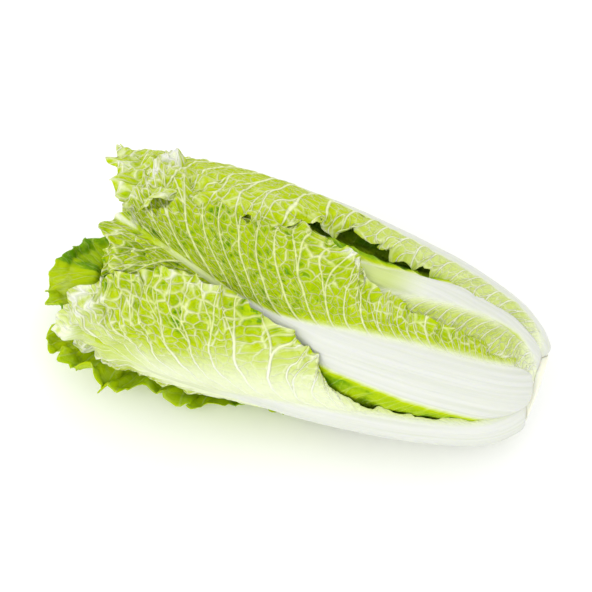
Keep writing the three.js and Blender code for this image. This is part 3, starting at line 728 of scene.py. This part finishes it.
def vein_look(tree, place, strength, net, fine):
    """How far each point belongs to a vein: side veins, net and finest net together."""
    number, fork = [add(tree, "ShaderNodeAttribute", out="Fac", attribute_name=name)
                    for name in ("vein", "fork")]
    row = add(tree, "ShaderNodeSeparateXYZ", {"Vector": place}, out="Z")

    # Side veins, wide at the midrib and narrow at the margin.
    to_vein = add(tree, "ShaderNodeMath", {0: number, 1: 0.5}, operation="PINGPONG")
    to_fork = add(tree, "ShaderNodeMath", {0: fork}, operation="ABSOLUTE")
    nearest = add(tree, "ShaderNodeMath", {0: to_vein, 1: to_fork}, operation="MINIMUM")
    inside = add(tree, "ShaderNodeMapRange", {"Value": row, "To Min": 0.03, "To Max": 0.008})
    outside = add(tree, "ShaderNodeMapRange", {"Value": row, "To Min": 0.115, "To Max": 0.032})
    side = add(tree, "ShaderNodeMapRange",
               {"Value": nearest, "From Min": inside, "From Max": outside, "To Min": 1.0,
                "To Max": 0.0}, interpolation_type="SMOOTHSTEP")
    clear = add(tree, "ShaderNodeMapRange", {"Value": strength, "From Max": 0.4})
    side = add(tree, "ShaderNodeMath", {0: side, 1: clear}, operation="MULTIPLY")

    # The veins of the net are uneven in width, and show clearly only in patches.
    uneven, patchy = [add(tree, "ShaderNodeTexNoise",
                          {"Vector": place, "Scale": scale, "Detail": 2.0})
                      for scale in (UNEVEN, PATCHY)]
    wider = add(tree, "ShaderNodeMapRange",
                {"Value": uneven, "From Min": 0.3, "From Max": 0.7, "To Min": 0.5, "To Max": 1.5})
    spread = add(tree, "ShaderNodeMapRange",
                 {"Value": row, "From Min": 0.4, "From Max": 0.95, "To Min": 0.1, "To Max": 0.2})
    width = add(tree, "ShaderNodeMath", {0: spread, 1: wider}, operation="MULTIPLY")
    net_most = add(tree, "ShaderNodeMapRange",
                   {"Value": patchy, "From Min": 0.35, "From Max": 0.62, "To Min": 0.5,
                    "To Max": 1.25})
    fine_most = add(tree, "ShaderNodeMapRange",
                    {"Value": uneven, "From Min": 0.4, "From Max": 0.65, "To Max": 0.45})
    net_vein, fine_vein = [
        add(tree, "ShaderNodeMapRange",
            {"Value": distance, "From Max": reach, "To Min": most, "To Max": 0.0},
            interpolation_type="SMOOTHSTEP")
        for distance, reach, most in ((net, width, net_most), (fine, 0.2, fine_most))]
    nets = add(tree, "ShaderNodeMath", {0: net_vein, 1: fine_vein}, operation="MAXIMUM")
    faded = add(tree, "ShaderNodeMath", {0: nets, 1: strength}, operation="MULTIPLY")
    return add(tree, "ShaderNodeMath", {0: faded, 1: side}, operation="MAXIMUM")


def cell_shade(tree, place, position, green, strength, net):
    """Cell green: painted shade darkest in each sunk cell's middle, different from cell to cell.

    Spots of painted highlight lie where the veins are clear, and it drifts over some centimetres.
    """
    cell = add(tree, "ShaderNodeTexVoronoi",
               {"Vector": place, "Scale": 1 / CELL, "Randomness": 0.8}, out="Color",
               voronoi_dimensions="2D")
    own = add(tree, "ShaderNodeMapRange", {"Value": cell, "To Min": -0.06, "To Max": 0.02})
    drift = add(tree, "ShaderNodeTexNoise",
                {"Vector": position, "Scale": DRIFT, "Detail": 5.0, "Roughness": 0.72})
    patch = add(tree, "ShaderNodeMapRange",
                {"Value": drift, "From Min": 0.3, "From Max": 0.7, "To Min": -0.15,
                 "To Max": 0.08})
    # Painted shade: the middle of each cell, sunk below its veins, is drawn deeper green and its
    # rim paler.
    middle = add(tree, "ShaderNodeMapRange",
                 {"Value": net, "From Min": 0.05, "From Max": 0.4, "To Min": -0.14,
                  "To Max": 0.08})
    # Painted highlights: pale spots that stand for glints on the crests of the finest puckers.
    glint_noise = add(tree, "ShaderNodeTexNoise",
                {"Vector": position, "Scale": GLINT_SPOTS, "Detail": 3.0})
    painted_glints = add(tree, "ShaderNodeMapRange",
                 {"Value": glint_noise, "From Min": 0.48, "From Max": 0.7, "To Max": -0.32})
    shade = add(tree, "ShaderNodeMath", {0: painted_glints, 1: strength, 2: own},
                operation="MULTIPLY_ADD")
    shade = add(tree, "ShaderNodeMath", {0: shade, 1: patch}, operation="ADD")
    shade = add(tree, "ShaderNodeMath", {0: middle, 1: strength, 2: shade},
                operation="MULTIPLY_ADD")
    return add(tree, "ShaderNodeMath", {0: shade, 1: green, 2: green},
               operation="MULTIPLY_ADD")


def leaf_material(name, cells, veins, rib, light_through):
    """Fresh cabbage leaf: soft wax over wet, light-carrying flesh.

    The wax gives a low broad gloss, the flesh lets light through, and the colour goes from the
    white midrib over pale yellow to green at the margin, with every vein paler than its cells.
    light_through is the share of the light that goes into the flesh.
    """
    material, tree, leaf = new_material(name)
    place, tint, run = [add(tree, "ShaderNodeAttribute", out="Vector", attribute_name=key)
                        for key in ("place", "tint", "fibre")]
    green, ribbed, strength = add(tree, "ShaderNodeSeparateXYZ", {"Vector": tint},
                                  out=None).outputs
    position = add(tree, "ShaderNodeTexCoord", out="Object")
    net, fine = vein_net(tree, place)
    vein = vein_look(tree, place, strength, net, fine)
    cell_colour = shades(tree, cell_shade(tree, place, position, green, strength, net), cells)
    vein_colour = shades(tree, green, veins)
    blade = add(tree, "ShaderNodeMix", {"Factor": vein, 6: cell_colour, 7: vein_colour}, out=2,
                data_type="RGBA")

    # Long fine fibres run along the midrib, which is green only where the leaf says so.
    stretched = add(tree, "ShaderNodeMapping", {"Vector": run, "Scale": FIBRE_STRETCH})
    fibre = add(tree, "ShaderNodeTexNoise", {"Vector": stretched, "Scale": 1.0, "Detail": 3.0})
    rib_white = shades(tree, fibre, rib)
    rib_green = shades(tree, green, cells)
    greening = add(tree, "ShaderNodeMath", {0: green, 1: 1.6}, operation="MULTIPLY",
                   use_clamp=True)
    rib_colour = add(tree, "ShaderNodeMix", {"Factor": greening, 6: rib_white, 7: rib_green},
                     out=2, data_type="RGBA")
    colour = add(tree, "ShaderNodeMix", {"Factor": ribbed, 6: blade, 7: rib_colour}, out=2,
                 data_type="RGBA")

    # Raised veins, fine skin grain, and the fibres of the midrib.
    skin_grain = add(tree, "ShaderNodeTexNoise",
                     {"Vector": position, "Scale": SKIN, "Detail": 2.0})
    hollow = add(tree, "ShaderNodeMapRange",
                 {"Value": net, "From Max": 0.45, "To Min": 1.0, "To Max": 0.0})
    skin = add(tree, "ShaderNodeMath", {0: hollow, 1: strength, 2: vein},
               operation="MULTIPLY_ADD")
    skin = add(tree, "ShaderNodeMath", {0: skin_grain, 1: 0.4, 2: skin},
               operation="MULTIPLY_ADD")
    relief = add(tree, "ShaderNodeMix", {"Factor": ribbed, 2: skin, 3: fibre})
    bump = add(tree, "ShaderNodeBump", {"Height": relief, "Strength": 0.9, "Distance": 0.001})
    connect(tree, leaf, {"Base Color": colour, "Normal": bump, "Roughness": 0.45, "IOR": 1.4,
                         "Specular IOR Level": 0.06, "Subsurface Weight": light_through,
                         "Subsurface Radius": (0.9, 1.0, 0.4),
                         "Subsurface Scale": 0.01 * light_through ** 1.3})
    return material


def stem_material(flesh, fibre, edge):
    """Cut cabbage stem: wet pale flesh with a ring of fibres, browned a little at its edge.

    Fresh flesh is glossy and carries light; the fibres are a shade darker.
    """
    material, tree, stem = new_material("Cut stem flesh")
    where = add(tree, "ShaderNodeAttribute", out="Fac", attribute_name="radius")
    position = add(tree, "ShaderNodeTexCoord", out="Object")
    mottle = add(tree, "ShaderNodeTexNoise",
                 {"Vector": position, "Scale": MOTTLE, "Detail": 3.0})
    spots = add(tree, "ShaderNodeTexVoronoi",
                {"Vector": position, "Scale": FIBRE_ENDS, "Randomness": 1.0}, out="Distance")
    spot = add(tree, "ShaderNodeMapRange",
               {"Value": spots, "From Min": 0.15, "From Max": 0.4, "To Min": 1.0, "To Max": 0.0})
    ring = shades(tree, where, [(place, (amount,) * 3) for place, amount in STEM_RING])
    fibres = add(tree, "ShaderNodeMath", {0: spot, 1: ring}, operation="MULTIPLY")
    base = shades(tree, mottle, [(0.3, flesh), (0.7, tuple(0.9 * c for c in flesh))])
    browned = add(tree, "ShaderNodeMapRange",
                  {"Value": where, "From Min": 0.88, "From Max": 1.02, "To Max": 0.7},
                  interpolation_type="SMOOTHSTEP")
    marked = add(tree, "ShaderNodeMix", {"Factor": fibres, 6: base, 7: (*fibre, 1)}, out=2,
                 data_type="RGBA")
    colour = add(tree, "ShaderNodeMix", {"Factor": browned, 6: marked, 7: (*edge, 1)}, out=2,
                 data_type="RGBA")
    bump = add(tree, "ShaderNodeBump", {"Height": mottle, "Strength": 0.4, "Distance": 0.0006})
    connect(tree, stem, {"Base Color": colour, "Normal": bump, "Roughness": 0.38, "IOR": 1.4,
                         "Subsurface Weight": 0.25, "Subsurface Radius": (1.0, 0.8, 0.5),
                         "Subsurface Scale": 0.004})
    return material


def floor_material(colour):
    """Matte studio paper, almost white, with a trace of tooth."""
    material, tree, paper = new_material("Matte studio paper")
    position = add(tree, "ShaderNodeTexCoord", out="Object")
    tooth = add(tree, "ShaderNodeTexNoise", {"Vector": position, "Scale": PAPER_TOOTH})
    bump = add(tree, "ShaderNodeBump", {"Height": tooth, "Strength": 0.05, "Distance": 0.0002})
    connect(tree, paper, {"Base Color": (*colour, 1), "Normal": bump, "Roughness": 0.9})
    return material


# ---- Building -----------------------------------------------------------------------------

MERGE_DISTANCE = 1e-6        # metres
WEIGHT_STEPS = 100           # steps in which a leaf's thickness is given
CORE_DEPTH = 44.0            # the core follows the profile of that depth
CORE_SIDES = 32
CORE_TINT = (0.1, 0.9, 0.2)  # its green, its share of midrib, and how clear its veins are
STEM_SIDES = 96
CUT = -1.5                   # the cut face lies 1.5 mm past the ends of the leaves
CHAMFER = 1.2


def select_only(*objects):
    """Deselects everything, then selects the given objects and makes the first one active."""
    bpy.ops.object.select_all(action="DESELECT")
    for obj in objects:
        obj.select_set(True)
    bpy.context.view_layer.objects.active = objects[0] if objects else None


def apply_modifier(obj, kind, **settings):
    select_only(obj)
    modifier = obj.modifiers.new(kind.title(), kind)
    for name, value in settings.items():
        setattr(modifier, name, value)
    bpy.ops.object.modifier_apply(modifier=modifier.name)


def carry(mesh, carried):
    """Stores values for every vertex under the names that the materials read."""
    for name, values in carried.items():
        kind, key = ("FLOAT", "value") if np.ndim(values) == 1 else ("FLOAT_VECTOR", "vector")
        data = mesh.attributes.new(name, kind, "POINT").data
        data.foreach_set(key, np.asarray(values, np.float32).ravel())


def set_points(mesh, points):
    """Moves the vertices to points given in millimetres."""
    mesh.vertices.foreach_set("co", (points * MM).astype(np.float32).ravel())


def thickness_group(obj, thick):
    """Weights a vertex group by thickness, and returns the thickness of weight 1."""
    group = obj.vertex_groups.new(name="thickness")
    most = thick.max()
    steps = np.round(thick / most * WEIGHT_STEPS).astype(int)
    for step in np.unique(steps):
        chosen = np.flatnonzero(steps == step).tolist()
        group.add(chosen, step / WEIGHT_STEPS, "REPLACE")
    return most


def make_leaf(leaf, name, settings, cells):
    """One leaf: a grid wrapped round the head, its cells sunk, then given its thickness."""
    columns, rows = leaf["grid"]
    select_only()
    bpy.ops.mesh.primitive_grid_add(x_subdivisions=2 * columns, y_subdivisions=rows, size=2)
    obj = bpy.context.object
    obj.name = obj.data.name = name
    mesh = obj.data
    flat = np.empty(len(mesh.vertices) * 3, np.float32)
    mesh.vertices.foreach_get("co", flat)
    q, y, _ = flat.astype(float).reshape(-1, 3).T
    field = leaf_field(leaf, np.clip(q, -1, 1), np.clip((y + 1) / 2, 0, 1), settings)
    set_points(mesh, field["point"])
    carry(mesh, field["carried"])
    thickest = thickness_group(obj, field["thick"])

    # The two sides of the grid meet along the midrib.
    bpy.ops.object.mode_set(mode="EDIT")
    bpy.ops.mesh.select_all(action="SELECT")
    bpy.ops.mesh.remove_doubles(threshold=MERGE_DISTANCE)
    bpy.ops.object.mode_set(mode="OBJECT")
    apply_modifier(obj, "NODES", node_group=cells)
    apply_modifier(obj, "SOLIDIFY", thickness=thickest * MM, offset=0,
                   vertex_group="thickness")
    bpy.ops.object.shade_smooth()
    return obj


def keep_above_floor(obj):
    """Presses flat whatever would sink below the surface that the head lies on."""
    for vertex in obj.data.vertices:
        vertex.co.z = max(vertex.co.z, 0)


def finish_piece(obj, material, node):
    obj.data.materials.clear()
    obj.data.materials.append(material)
    keep_above_floor(obj)
    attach(obj, "root")
    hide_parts(node)


def lay_on_axis(obj, distance):
    """Moves a piece made along +Z to that distance along the head, pointing to the cut."""
    select_only(obj)
    direction = Vector((math.cos(HEAD_TILT), 0, -math.sin(HEAD_TILT)))
    obj.rotation_mode = "QUATERNION"
    obj.rotation_quaternion = direction.to_track_quat("Z", "Y")
    obj.location = Vector(STEM_CENTRE) * MM - direction * distance * MM
    bpy.ops.object.transform_apply(location=True, rotation=True, scale=True)


def turned_body(name, profile, sides):
    """A closed body of revolution along +Z, its first ring at the origin, in millimetres."""
    place, radius = profile[0]
    select_only()
    bpy.ops.mesh.primitive_circle_add(vertices=sides, radius=radius * MM, fill_type="NGON")
    obj = bpy.context.object
    obj.name = obj.data.name = name
    bpy.ops.object.mode_set(mode="EDIT")
    bpy.ops.mesh.select_all(action="SELECT")
    for next_place, next_radius in profile[1:]:
        bpy.ops.mesh.extrude_region_move(
            TRANSFORM_OT_translate={"value": (0, 0, (place - next_place) * MM)})
        factor = next_radius / radius
        bpy.ops.transform.resize(value=(factor, factor, 1), orient_type="GLOBAL")
        place, radius = next_place, next_radius
    # Rings that run down from the first one leave the faces pointing inward.
    bpy.ops.mesh.select_all(action="SELECT")
    bpy.ops.mesh.normals_make_consistent(inside=False)
    bpy.ops.object.mode_set(mode="OBJECT")
    return obj


def make_core():
    """The slim core that the heart's leaves stand on."""
    steps = np.linspace(0, 0.5, 18)
    profile = profile_at(steps, np.full_like(steps, CORE_DEPTH))
    slimmer = 1 - 0.6 * smooth(steps, 0.12, 0.4)
    points = [(x, radius * slim) for (x, radius), slim in zip(profile, slimmer)]
    # A rounded end closes it.
    last_x, last_radius = points[-1]
    points.append((last_x + 0.7 * last_radius, 0.6 * last_radius))
    points.append((last_x + last_radius, 0.05))
    core = turned_body("heart_core", points, CORE_SIDES)
    lay_on_axis(core, points[0][0])
    count = len(core.data.vertices)
    between_veins = np.full(count, 0.5)
    carry(core.data, {"place": np.zeros((count, 3)), "fibre": np.zeros((count, 3)),
                      "tint": np.tile(CORE_TINT, (count, 1)), "vein": between_veins,
                      "fork": between_veins})
    select_only(core)
    bpy.ops.object.shade_smooth()
    return core


def make_stem(settings):
    """The stem: a tapered plug whose cut face is sliced not quite flat."""
    radius = settings.radius / MM
    length = settings.length / MM
    profile = [(CUT, radius * share) for share in (0.12, 0.3, 0.5, 0.68, 0.82, 0.92)]
    profile += [(CUT, radius - CHAMFER), (CUT + 0.4 * CHAMFER, radius - 0.3 * CHAMFER),
                (CUT + CHAMFER, radius)]
    for place in np.linspace(CUT + CHAMFER, length + CUT, 12)[1:]:
        profile.append((place, radius - settings.taper * (place - CUT - CHAMFER)))
    stem = turned_body("cut_stem", profile, STEM_SIDES)
    spots = np.array([vertex.co[:] for vertex in stem.data.vertices]) / MM
    away = np.hypot(spots[:, 0], spots[:, 1])
    carry(stem.data, {"radius": away / radius})
    # Slices of the knife and the softer pith leave the face a little uneven.
    face = smooth(spots[:, 2], -0.6, -0.1)
    uneven = 0.5 * grain(spots[:, 0] / 4 + 9, spots[:, 1] / 14 + 9, 11) + 0.5 * smooth(away, 12, 0)
    ring = np.exp(-((away - 0.72 * radius) / 1.6) ** 2)
    spots[:, 2] -= face * (uneven + 0.3 * ring)
    # Its side swells and shrinks by about 1 %.
    wall = smooth(away, radius * 0.6, radius * 0.95) * (1 - face)
    swell = 1 - 0.012 * wall * grain(np.arctan2(spots[:, 1], spots[:, 0]) * 4 + 20,
                                     spots[:, 2] / 9 + 20, 12)
    spots[:, :2] *= swell[:, None]
    set_points(stem.data, spots)
    lay_on_axis(stem, CUT)
    select_only(stem)
    bpy.ops.object.shade_smooth_by_angle(angle=math.radians(40))
    return stem


# ---- Stage --------------------------------------------------------------------------------

FLOOR_SIZE = 6
# Place, width in metres and power in watts of each soft light.
LIGHTS = {"key_light": ((-0.35, -1.1, 1.2), 0.9, 6.2),
          "fill_light": ((1.0, -0.6, 0.9), 1.2, 2),
          "back_light": ((-0.2, 1.1, 1.1), 1.2, 2.5),
          "end_light": ((-1.2, -0.2, 0.5), 0.9, 1.2)}
LIGHT_AIM = Vector((0, 0, 0.06))
WORLD_STRENGTH = 1.0
CAMERA_MIDDLE = Vector((0.0097, 0.003865, 0.0495))
CAMERA_SHIFT = Vector((-0.0075, 0.019, 0))


def soft_light(name, place, size, power):
    bpy.ops.object.light_add(type="AREA", location=place)
    light = bpy.context.object
    light.name = name
    light.data.size = size
    light.data.energy = power
    toward = LIGHT_AIM - Vector(place)
    light.rotation_euler = toward.to_track_quat("-Z", "Y").to_euler()


def aim_camera(context, stage):
    """Stands the camera before the middle of the head and shifts it in its own plane."""
    away = Vector((math.sin(stage.azimuth) * math.cos(stage.elevation),
                   -math.cos(stage.azimuth) * math.cos(stage.elevation),
                   math.sin(stage.elevation)))
    turn = (-away).to_track_quat("-Z", "Y")
    place = CAMERA_MIDDLE + away * stage.distance + turn @ CAMERA_SHIFT
    bpy.ops.object.camera_add(location=place, rotation=turn.to_euler())
    camera = context.object
    camera.name = "camera"
    camera.data.lens = stage.lens
    context.scene.camera = camera


# ---- Settings -----------------------------------------------------------------------------


def colour_property(name, description, hex_colour):
    return bpy.props.FloatVectorProperty(name=name, description=description, size=3, min=0,
                                         max=1, subtype="COLOR", default=linear(hex_colour))


def length_property(name, description, millimetres):
    return bpy.props.FloatProperty(name=name, description=description, subtype="DISTANCE",
                                   unit="LENGTH", min=0, default=millimetres * MM)


class CabbageLeafSettings(bpy.types.PropertyGroup):
    """Sizes of the leaves' fine relief."""

    blade: length_property("Blade thickness", "Thickness of a leaf beside its midrib", 1.0)
    vein_height: length_property("Vein height", "Height of a side vein at the midrib", 1.0)
    pucker: length_property("Pucker", "Height of the puckers between the side veins", 2.2)
    cell_depth: length_property("Cell depth", "How far a cell sinks between its veins", 1.4)


class CabbageColours(bpy.types.PropertyGroup):
    """Colours of the leaves and of the cut stem."""

    pale: colour_property("Pale blade", "Blade beside the midrib", "e6edcb")
    yellow: colour_property("Yellow blade", "Blade between pale and green", "ccda88")
    green: colour_property("Green blade", "Blade away from the midrib", "b6cb02")
    deep: colour_property("Deep green", "Blade at the margin", "a0be02")
    # Partly real and partly painted shade: leaf_d's shaded inner face and leaf_f in the slit use
    # it.
    darkest: colour_property("Darkest green", "Greenest blade of the outermost leaf", "5f9200")
    blanched_pale: colour_property("Blanched pale", "Inner leaves beside the midrib", "f7f8de")
    blanched: colour_property("Blanched", "Inner leaves away from the midrib", "eef59c")
    blanched_green: colour_property("Blanched green", "Inner leaves at the tip", "cfe45c")
    vein_pale: colour_property("Pale vein", "Veins near the midrib", "f2f5e6")
    vein_green: colour_property("Green vein", "Veins at the margin", "dde79c")
    rib: colour_property("Midrib", "White of the midrib", "dadcd5")
    rib_fibre: colour_property("Midrib fibre", "Fibres along the midrib", "d0d4c6")
    flesh: colour_property("Stem flesh", "Flesh of the cut stem", "f3f4e8")
    fibre: colour_property("Stem fibre", "Fibres in the cut stem", "cfd6ab")
    browned: colour_property("Browned edge", "Dried edge of the cut stem", "e8e8d4")


class CabbageStemSettings(bpy.types.PropertyGroup):
    """Sizes of the cut stem."""

    radius: length_property("Stem radius", "Radius of the cut face", 22.0)
    taper: bpy.props.FloatProperty(name="Taper", description="Radius lost per length inward",
                                   min=0, max=0.4, default=0.32)
    length: length_property("Stem length", "Length from the cut face inward", 45.8)


class CabbageStageSettings(bpy.types.PropertyGroup):
    """Floor, light and camera."""

    lens: bpy.props.FloatProperty(name="Lens", description="Focal length in millimetres",
                                  unit="CAMERA", min=10, default=124)
    distance: bpy.props.FloatProperty(name="Distance", description="Camera to head",
                                      subtype="DISTANCE", unit="LENGTH", min=0.5, default=1.3)
    azimuth: bpy.props.FloatProperty(name="Azimuth", description="Camera angle round the head",
                                     subtype="ANGLE", default=math.radians(19))
    elevation: bpy.props.FloatProperty(name="Elevation", description="Camera angle above it",
                                       subtype="ANGLE", default=math.radians(55))
    floor: colour_property("Floor", "Colour of the floor", "fdfdfd")


# ---- Operators ----------------------------------------------------------------------------

OUTER_LEAVES = ("leaf_a", "leaf_b", "leaf_c", "leaf_d", "leaf_g")
BLANCHED_BELOW = 14    # leaves deeper than that grow without light


def leaf_look(colours, blanched=False):
    """The material of leaves grown in light or of blanched ones, made once and shared."""
    name = "Blanched cabbage leaf" if blanched else "Fresh cabbage leaf"
    made = bpy.data.materials.get(name)
    if made:
        return made
    cells = [(0.0, colours.pale), (0.28, colours.yellow), (0.56, colours.green),
             (0.85, colours.deep), (1.0, colours.darkest)]
    if blanched:
        cells = [(0.0, colours.blanched_pale), (0.35, colours.blanched),
                 (1.0, colours.blanched_green)]
    return leaf_material(name, cells,
                         veins=[(0.1, colours.vein_pale), (0.9, colours.vein_green)],
                         rib=[(0.3, colours.rib_fibre), (0.6, colours.rib)],
                         light_through=0.4 if blanched else 0.3)


def leaf_cells(settings):
    made = bpy.data.node_groups.get("Leaf cells")
    return made if made else crinkle_nodes(settings.cell_depth)


def build_leaves(scene, outer):
    settings = scene.cabbage_leaves
    cells = leaf_cells(settings)
    for leaf in leaves:
        if (leaf["name"] in OUTER_LEAVES) == outer:
            obj = make_leaf(leaf, "veined_" + leaf["name"], settings, cells)
            material = leaf_look(scene.cabbage_colours,
                                 blanched=leaf["depth"] > BLANCHED_BELOW)
            finish_piece(obj, material, leaf["name"])


class CABBAGE_OT_outer_leaves(bpy.types.Operator):
    """Add the loose outer leaves that wrap the head"""

    bl_idname = "cabbage.outer_leaves"
    bl_label = "Outer leaves"

    def execute(self, context):
        build_leaves(context.scene, True)
        return {"FINISHED"}


class CABBAGE_OT_inner_leaves(bpy.types.Operator):
    """Add the tight inner leaves"""

    bl_idname = "cabbage.inner_leaves"
    bl_label = "Inner leaves"

    def execute(self, context):
        build_leaves(context.scene, False)
        return {"FINISHED"}


class CABBAGE_OT_heart(bpy.types.Operator):
    """Add the heart, small crumpled leaves on a slim core"""

    bl_idname = "cabbage.heart"
    bl_label = "Heart"

    def execute(self, context):
        settings = context.scene.cabbage_leaves
        cells = leaf_cells(settings)
        parts = [make_leaf(leaf, leaf["name"], settings, cells) for leaf in heart_leaves]
        parts.append(make_core())
        select_only(*parts)
        bpy.ops.object.join()
        heart = bpy.context.object
        heart.name = heart.data.name = "heart_leaves"
        finish_piece(heart, leaf_look(context.scene.cabbage_colours, blanched=True), "heart")
        return {"FINISHED"}


class CABBAGE_OT_cut_stem(bpy.types.Operator):
    """Add the stem with its cut face"""

    bl_idname = "cabbage.cut_stem"
    bl_label = "Cut stem"

    def execute(self, context):
        colours = context.scene.cabbage_colours
        stem = make_stem(context.scene.cabbage_stem)
        material = stem_material(colours.flesh, colours.fibre, colours.browned)
        finish_piece(stem, material, "stem_core")
        return {"FINISHED"}


class CABBAGE_OT_stage(bpy.types.Operator):
    """Add the floor, the soft studio light and the camera"""

    bl_idname = "cabbage.stage"
    bl_label = "Stage"

    def execute(self, context):
        stage = context.scene.cabbage_stage
        select_only()
        bpy.ops.mesh.primitive_plane_add(size=FLOOR_SIZE)
        floor = context.object
        floor.name = "floor"
        floor.data.materials.append(floor_material(stage.floor))
        for name, (place, size, power) in LIGHTS.items():
            soft_light(name, place, size, power)
        world = bpy.data.worlds.new("Studio")
        context.scene.world = world
        world.use_nodes = True
        connect(world.node_tree, world.node_tree.nodes["Background"],
                {"Color": (1, 1, 1, 1), "Strength": WORLD_STRENGTH})
        context.scene.view_settings.view_transform = "Standard"
        aim_camera(context, stage)
        return {"FINISHED"}


class CABBAGE_PT_panel(bpy.types.Panel):
    """Lists the pieces of the cabbage and their settings"""

    bl_label = "Napa cabbage"
    bl_space_type = "VIEW_3D"
    bl_region_type = "UI"
    bl_category = "Cabbage"

    def draw(self, context):
        layout = self.layout
        for operator in OPERATORS:
            layout.operator(operator.bl_idname)
        for name in SETTINGS:
            group = getattr(context.scene, name)
            box = layout.box()
            for key in group.bl_rna.properties.keys():
                if key not in {"rna_type", "name"}:
                    box.prop(group, key)


OPERATORS = (CABBAGE_OT_outer_leaves, CABBAGE_OT_inner_leaves, CABBAGE_OT_heart,
             CABBAGE_OT_cut_stem, CABBAGE_OT_stage)
SETTINGS = {"cabbage_leaves": CabbageLeafSettings, "cabbage_colours": CabbageColours,
            "cabbage_stem": CabbageStemSettings, "cabbage_stage": CabbageStageSettings}


def register():
    for group in SETTINGS.values():
        bpy.utils.register_class(group)
    for name, group in SETTINGS.items():
        setattr(bpy.types.Scene, name, bpy.props.PointerProperty(type=group))
    for operator in OPERATORS:
        bpy.utils.register_class(operator)
    bpy.utils.register_class(CABBAGE_PT_panel)


def unregister():
    bpy.utils.unregister_class(CABBAGE_PT_panel)
    for operator in reversed(OPERATORS):
        bpy.utils.unregister_class(operator)
    for name, group in SETTINGS.items():
        delattr(bpy.types.Scene, name)
        bpy.utils.unregister_class(group)


def main():
    register()
    bpy.ops.cabbage.outer_leaves()
    bpy.ops.cabbage.inner_leaves()
    bpy.ops.cabbage.heart()
    bpy.ops.cabbage.cut_stem()
    bpy.ops.cabbage.stage()


if __name__ == "__main__":
    main()
